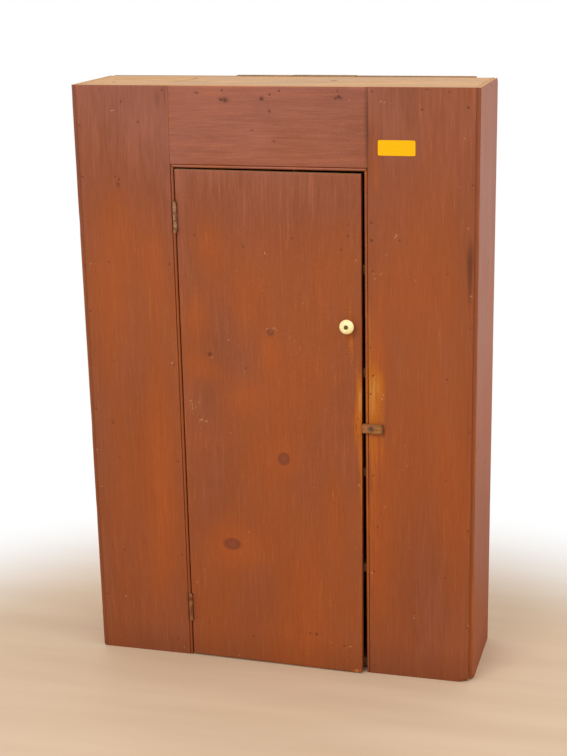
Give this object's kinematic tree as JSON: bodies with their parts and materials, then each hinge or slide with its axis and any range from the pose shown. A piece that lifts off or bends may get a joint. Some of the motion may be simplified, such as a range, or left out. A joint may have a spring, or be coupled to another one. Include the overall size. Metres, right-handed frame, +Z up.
{
  "type": "jelly cupboard",
  "caption": "Shallow painted pine jelly cupboard with a wide boarded front, a door on butt hinges, a porcelain knob, a wooden turn button and fixed shelves.",
  "frame": {"origin": "on the floor, under the middle of the whole cupboard's box, knob included", "axes": "+X across the front to the right as seen from the front, +Y from the front to the back, +Z up"},
  "size_m": [1, 0.299, 1.4932],
  "materials": {
    "red_washed_pine": "worn thin paint",
    "red_washed_pine_door": "worn thin paint",
    "bare_pine": "bare, aged",
    "old_iron_hinge": "worn paint over iron",
    "iron_screw": "dark, dull",
    "cut_nail_iron": "rusted",
    "white_porcelain": "glazed",
    "worn_button_wood": "worn",
    "amber_paper": "matt"
  },
  "bodies": {
    "case": {"side_left": "red_washed_pine", "side_right": "red_washed_pine", "stile_left": "red_washed_pine", "stile_right": "red_washed_pine", "top_rail": "red_washed_pine", "bottom_board": "bare_pine", "shelf_1": "bare_pine", "shelf_2": "bare_pine", "shelf_3": "bare_pine", "shelf_4": "bare_pine", "top_board": "bare_pine", "back_board_1": "bare_pine", "back_board_2": "bare_pine", "back_board_3": "bare_pine", "back_board_4": "bare_pine", "lower_hinge_case_leaf": "old_iron_hinge", "upper_hinge_case_leaf": "old_iron_hinge", "lower_hinge_pin": "old_iron_hinge", "upper_hinge_pin": "old_iron_hinge", "case_hinge_screws": "iron_screw", "button_screw": "iron_screw", "face_nails": "cut_nail_iron", "side_nails": "cut_nail_iron", "back_nails": "cut_nail_iron", "price_label": "amber_paper"},
    "door": {"door_board": "red_washed_pine_door", "lower_batten": "bare_pine", "upper_batten": "bare_pine", "lower_hinge_door_leaf": "old_iron_hinge", "upper_hinge_door_leaf": "old_iron_hinge", "door_hinge_screws": "iron_screw", "batten_nails": "cut_nail_iron", "knob": "white_porcelain", "knob_screw": "iron_screw"},
    "button": {"turn_button": "worn_button_wood"}
  },
  "joints": [
    {"name": "door_hinge", "type": "hinge", "parent": "case", "child": "door", "pos_m": [-0.2457, -0.1275, 0.6565], "axis": [0, 0, -1], "range_deg": [0, 175]},
    {"name": "button_turn", "type": "hinge", "parent": "case", "child": "button", "pos_m": [0.24254, -0.1274, 0.6635], "axis": [0, 1, 0], "continuous": true}
  ]
}
